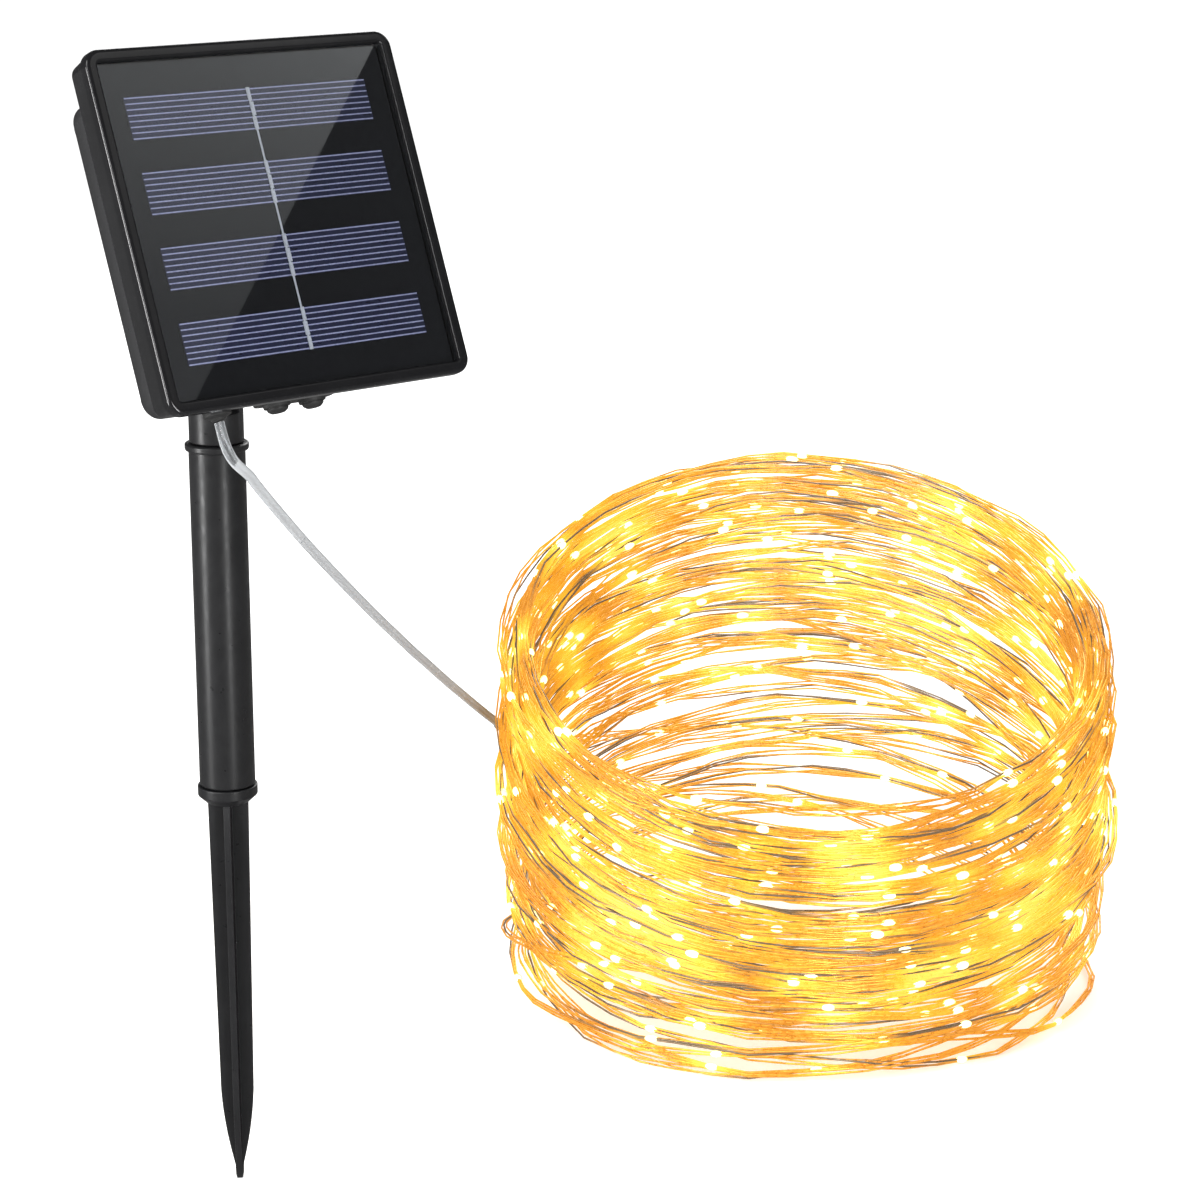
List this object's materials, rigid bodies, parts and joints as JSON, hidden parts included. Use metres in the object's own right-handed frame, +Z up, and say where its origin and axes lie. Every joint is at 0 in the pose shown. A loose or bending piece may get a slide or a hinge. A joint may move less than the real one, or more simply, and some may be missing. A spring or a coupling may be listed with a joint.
{
  "type": "solar string lights",
  "caption": "Solar string lights: a tilting square solar housing on a ground stake, with a clear lead to a round coil of copper-wire lights.",
  "frame": {"origin": "the tip of the ground spike", "axes": "+Z up along the stake, -Y the side the solar panel faces, +X towards the coil of lights"},
  "size_m": [0.445, 0.238, 0.379],
  "materials": {
    "stake_plastic": "satin dark grey moulded plastic",
    "bezel_plastic": "glossy black moulded plastic",
    "shell_plastic": "fine-textured black moulded plastic",
    "black_rubber": "soft black rubber",
    "steel_fastener": "zinc-plated steel",
    "clear_cover": "clear glossy cover",
    "solar_cell": "dark blue silicon with pale grid lines",
    "tinned_copper": "bright tinned ribbon",
    "panel_backing": "smooth black backing board",
    "battery_wrap": "green shrink wrap",
    "circuit_green": "green solder mask",
    "component_black": "black moulded component",
    "clear_pvc": "clear soft plastic",
    "red_wire": "red insulation",
    "black_wire": "black insulation",
    "copper_wire": "enamelled copper wire, lit warm",
    "wound_wire": "loose winding of warm copper wire, mostly air",
    "led_glow": "lit warm-white resin drop"
  },
  "bodies": {
    "stake": {"ground_spike": "stake_plastic", "pole_tube": "stake_plastic", "pole_collar": "stake_plastic", "lead_cable_lower": "clear_pvc", "lead_joint": "clear_pvc", "light_coil": "wound_wire", "string_end_cap": "clear_pvc"},
    "neck": {"swivel_neck": "stake_plastic", "tilt_washer_left": "steel_fastener", "tilt_washer_right": "steel_fastener", "tilt_bolt": "steel_fastener", "tilt_nut": "steel_fastener"},
    "head": {"front_bezel": "bezel_plastic", "housing_gasket": "black_rubber", "rear_shell": "shell_plastic", "case_screw_1": "steel_fastener", "case_screw_2": "steel_fastener", "case_screw_3": "steel_fastener", "case_screw_4": "steel_fastener", "panel_cover": "clear_cover", "bus_ribbon": "tinned_copper", "solar_cell_1": "solar_cell", "solar_cell_2": "solar_cell", "solar_cell_3": "solar_cell", "solar_cell_4": "solar_cell", "panel_board": "panel_backing", "panel_sealant": "black_rubber", "battery": "battery_wrap", "battery_holder": "shell_plastic", "battery_spring": "steel_fastener", "battery_contact": "steel_fastener", "circuit_board": "circuit_green", "driver_chip": "component_black", "inductor": "component_black", "capacitor": "component_black", "switch_body_power": "component_black", "switch_body_mode": "component_black", "button_pad": "black_rubber", "cable_gland": "black_rubber", "lead_tail": "clear_pvc", "panel_wire_red": "red_wire", "panel_wire_black": "black_wire", "battery_wire_red": "red_wire", "battery_wire_black": "black_wire", "hinge_bracket": "shell_plastic", "bracket_screw_left": "steel_fastener", "bracket_screw_right": "steel_fastener", "lead_cable_upper": "clear_pvc"},
    "power_button": {"button_power": "black_rubber", "switch_plunger_power": "component_black"},
    "mode_button": {"button_mode": "black_rubber", "switch_plunger_mode": "component_black"}
  },
  "joints": [
    {"name": "neck_swivel", "type": "hinge", "parent": "stake", "child": "neck", "pos_m": [0, 0, 0.2527], "axis": [0, 0, 1], "range_deg": [-15, 90], "deforming": ["lead_cable_lower"]},
    {"name": "head_tilt", "type": "hinge", "parent": "neck", "child": "head", "pos_m": [0, 0, 0.296], "axis": [-1, 0, 0], "range_deg": [-22, 45], "deforming": ["lead_cable_upper"]},
    {"name": "power_press", "type": "slide", "parent": "head", "child": "power_button", "axis": [0, 0.3746, 0.9272], "range_m": [0, 0.0008], "stiffness_N_per_m": 1500},
    {"name": "mode_press", "type": "slide", "parent": "head", "child": "mode_button", "axis": [0, 0.3746, 0.9272], "range_m": [0, 0.0008], "stiffness_N_per_m": 1500}
  ]
}
